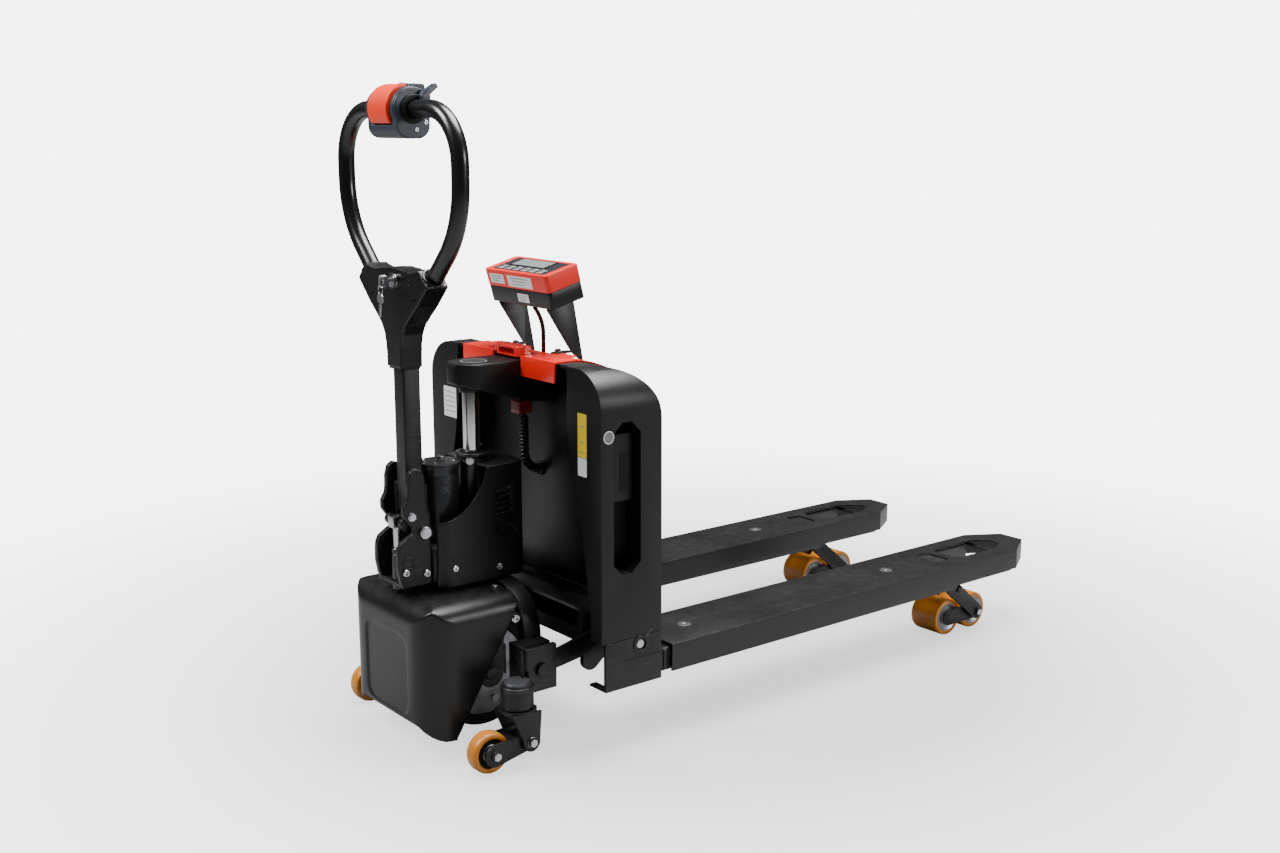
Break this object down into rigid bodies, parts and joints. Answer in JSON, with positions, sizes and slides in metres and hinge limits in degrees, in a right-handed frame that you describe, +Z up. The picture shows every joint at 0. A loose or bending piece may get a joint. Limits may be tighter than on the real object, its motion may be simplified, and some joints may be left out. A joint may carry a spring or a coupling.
{
  "type": "powered pallet truck",
  "caption": "Walk-behind powered pallet truck with weighing forks, steered drive unit, loop tiller, lift linkage and load rollers.",
  "frame": {"origin": "middle of the truck's footprint box, on the floor", "axes": "+X towards the fork tips, +Y to the left fork seen from the tiller, +Z up; forks raised"},
  "size_m": [1.51, 0.56, 1.1745],
  "materials": {
    "black_steel": "textured powder coat",
    "grey_steel": "satin paint",
    "black_plastic": "fine grain",
    "red_plastic": "gloss",
    "orange_plastic": "satin",
    "slate_plastic": "satin",
    "dark_red_plastic": "satin",
    "amber_polyurethane": "semi gloss",
    "tyre": "matt",
    "zinc": "zinc plated",
    "chrome": "polished",
    "cast": "cast",
    "cable": "satin"
  },
  "bodies": {
    "base": {"saddle": "black_steel", "drive_cover": "black_plastic", "caster_housings": "black_steel"},
    "power_unit": {"drive_fork": "grey_steel", "pump_block": "grey_steel", "lift_cylinder": "grey_steel", "motor": "black_steel", "pump_cover": "black_plastic", "tiller_bracket": "black_steel", "pivot_bolt": "zinc", "gas_cylinder": "black_steel"},
    "drive_wheel": {"drive_tyre": "tyre", "drive_hub": "cast"},
    "tiller": {"tiller_tube": "black_steel", "y_cover": "black_plastic", "handle_loop": "black_steel", "head_housing": "slate_plastic", "key_lock": "zinc"},
    "gas_rod": {"gas_rod": "zinc"},
    "key": {"key": "zinc"},
    "belly_button": {"belly_button": "orange_plastic"},
    "throttle": {"throttle": "slate_plastic"},
    "lift_rocker": {"lift_rocker": "black_plastic"},
    "horn_button": {"horn_button": "black_plastic"},
    "fork_frame": {"chassis_frame": "black_steel", "side_housing_left": "black_plastic", "side_housing_right": "black_plastic", "front_panel": "black_steel", "top_arm": "black_steel", "ram": "chrome", "weigh_shell_left": "black_steel", "weigh_shell_right": "black_steel", "fork_beams": "black_steel", "load_cells": "cast", "shell_screws": "zinc", "battery_pack": "black_plastic", "battery_lid": "red_plastic", "indicator_brackets": "black_steel", "indicator_base": "black_plastic", "indicator_cover": "red_plastic", "indicator_cable": "cable", "lead_plug": "dark_red_plastic", "coiled_lead": "cable"},
    "emergency_handle": {"emergency_handle": "red_plastic"},
    "bell_cranks": {"bell_cranks": "black_steel"},
    "push_rods": {"push_rods": "grey_steel"},
    "caster_yoke_left": {"caster_yoke_left": "black_steel"},
    "caster_arm_left": {"caster_arm_left": "black_steel"},
    "caster_wheel_left": {"caster_wheel_left": "amber_polyurethane"},
    "roller_arm_left": {"roller_arm_left": "black_steel"},
    "link_plates_left": {"link_plates_left": "black_steel"},
    "inner_roller_left": {"inner_roller_left": "amber_polyurethane"},
    "outer_roller_left": {"outer_roller_left": "amber_polyurethane"},
    "caster_yoke_right": {"caster_yoke_right": "black_steel"},
    "caster_arm_right": {"caster_arm_right": "black_steel"},
    "caster_wheel_right": {"caster_wheel_right": "amber_polyurethane"},
    "roller_arm_right": {"roller_arm_right": "black_steel"},
    "link_plates_right": {"link_plates_right": "black_steel"},
    "inner_roller_right": {"inner_roller_right": "amber_polyurethane"},
    "outer_roller_right": {"outer_roller_right": "amber_polyurethane"}
  },
  "joints": [
    {"name": "lift", "type": "slide", "parent": "base", "child": "fork_frame", "axis": [0, 0, 1], "range_m": [-0.084, 0]},
    {"name": "steering", "type": "hinge", "parent": "base", "child": "power_unit", "pos_m": [-0.565, 0, 0.15], "axis": [0, 0, 1], "range_deg": [-70, 70]},
    {"name": "drive_spin", "type": "hinge", "parent": "power_unit", "child": "drive_wheel", "pos_m": [-0.565, 0, 0.105], "axis": [0, 1, 0], "continuous": true},
    {"name": "tiller_tilt", "type": "hinge", "parent": "power_unit", "child": "tiller", "pos_m": [-0.695, 0, 0.398], "axis": [0, -1, 0], "range_deg": [0, 65], "stiffness_Nm_per_rad": 40, "springref_deg": -68.75},
    {"name": "gas_spring", "type": "slide", "parent": "power_unit", "child": "gas_rod", "axis": [0, 0, 1], "range_m": [-0.036, 0.0005]},
    {"name": "key_turn", "type": "hinge", "parent": "tiller", "child": "key", "pos_m": [-0.725, -0.014, 0.842], "axis": [1, 0, 0], "range_deg": [0, 90]},
    {"name": "belly_press", "type": "slide", "parent": "tiller", "child": "belly_button", "axis": [1, 0, 0], "range_m": [0, 0.004], "stiffness_N_per_m": 600, "springref_m": -0.004},
    {"name": "throttle_turn", "type": "hinge", "parent": "tiller", "child": "throttle", "pos_m": [-0.679, 0, 1.149], "axis": [0, 1, 0], "range_deg": [-25, 25], "stiffness_Nm_per_rad": 0.6},
    {"name": "rocker_tilt", "type": "hinge", "parent": "tiller", "child": "lift_rocker", "pos_m": [-0.675, 0, 1.163], "axis": [0, 1, 0], "range_deg": [-7, 7], "stiffness_Nm_per_rad": 0.3},
    {"name": "horn_press", "type": "slide", "parent": "tiller", "child": "horn_button", "axis": [0, 0, 1], "range_m": [-0.0018, 0], "stiffness_N_per_m": 500, "springref_m": 0.002},
    {"name": "handle_pull", "type": "slide", "parent": "fork_frame", "child": "emergency_handle", "axis": [0, 0, 1], "range_m": [0, 0.025]},
    {"name": "crank_turn", "type": "hinge", "parent": "fork_frame", "child": "bell_cranks", "pos_m": [-0.393, 0, 0.189], "axis": [0, 1, 0], "range_deg": [-1, 29.47]},
    {"name": "rod_push", "type": "slide", "parent": "fork_frame", "child": "push_rods", "axis": [1, 0, 0], "range_m": [-0.0155, 0.0005]},
    {"name": "roller_arm_left", "type": "hinge", "parent": "fork_frame", "child": "roller_arm_left", "pos_m": [0.479, 0.205, 0.126], "axis": [0, 1, 0], "range_deg": [-39.74, 1]},
    {"name": "link_level_left", "type": "hinge", "parent": "roller_arm_left", "child": "link_plates_left", "pos_m": [0.583, 0.205, 0.04], "axis": [0, 1, 0], "range_deg": [-1, 39.74]},
    {"name": "inner_roll_left", "type": "hinge", "parent": "link_plates_left", "child": "inner_roller_left", "pos_m": [0.499, 0.205, 0.04], "axis": [0, 1, 0], "continuous": true},
    {"name": "outer_roll_left", "type": "hinge", "parent": "roller_arm_left", "child": "outer_roller_left", "pos_m": [0.583, 0.205, 0.04], "axis": [0, 1, 0], "continuous": true},
    {"name": "caster_swivel_left", "type": "hinge", "parent": "base", "child": "caster_yoke_left", "pos_m": [-0.615, 0.212, 0.12], "axis": [0, 0, 1], "continuous": true},
    {"name": "caster_swing_left", "type": "hinge", "parent": "caster_yoke_left", "child": "caster_arm_left", "pos_m": [-0.607, 0.212, 0.046], "axis": [0, 1, 0], "range_deg": [0, 8], "stiffness_Nm_per_rad": 60, "springref_deg": -34.38},
    {"name": "caster_roll_left", "type": "hinge", "parent": "caster_arm_left", "child": "caster_wheel_left", "pos_m": [-0.678, 0.212, 0.037], "axis": [0, 1, 0], "continuous": true},
    {"name": "roller_arm_right", "type": "hinge", "parent": "fork_frame", "child": "roller_arm_right", "pos_m": [0.479, -0.205, 0.126], "axis": [0, 1, 0], "range_deg": [-39.74, 1]},
    {"name": "link_level_right", "type": "hinge", "parent": "roller_arm_right", "child": "link_plates_right", "pos_m": [0.583, -0.205, 0.04], "axis": [0, 1, 0], "range_deg": [-1, 39.74]},
    {"name": "inner_roll_right", "type": "hinge", "parent": "link_plates_right", "child": "inner_roller_right", "pos_m": [0.499, -0.205, 0.04], "axis": [0, 1, 0], "continuous": true},
    {"name": "outer_roll_right", "type": "hinge", "parent": "roller_arm_right", "child": "outer_roller_right", "pos_m": [0.583, -0.205, 0.04], "axis": [0, 1, 0], "continuous": true},
    {"name": "caster_swivel_right", "type": "hinge", "parent": "base", "child": "caster_yoke_right", "pos_m": [-0.615, -0.212, 0.12], "axis": [0, 0, 1], "continuous": true},
    {"name": "caster_swing_right", "type": "hinge", "parent": "caster_yoke_right", "child": "caster_arm_right", "pos_m": [-0.607, -0.212, 0.046], "axis": [0, 1, 0], "range_deg": [0, 8], "stiffness_Nm_per_rad": 60, "springref_deg": -34.38},
    {"name": "caster_roll_right", "type": "hinge", "parent": "caster_arm_right", "child": "caster_wheel_right", "pos_m": [-0.678, -0.212, 0.037], "axis": [0, 1, 0], "continuous": true}
  ],
  "couplings": [
    {"joint": "gas_spring", "follows": "tiller_tilt", "m_per_rad": -0.03051},
    {"joint": "crank_turn", "follows": "lift", "rad_per_m": -5.915},
    {"joint": "rod_push", "follows": "lift", "ratio": 0.1741},
    {"joint": "roller_arm_left", "follows": "lift", "rad_per_m": 8.0491},
    {"joint": "link_level_left", "follows": "lift", "rad_per_m": -8.0491},
    {"joint": "roller_arm_right", "follows": "lift", "rad_per_m": 8.0491},
    {"joint": "link_level_right", "follows": "lift", "rad_per_m": -8.0491}
  ]
}
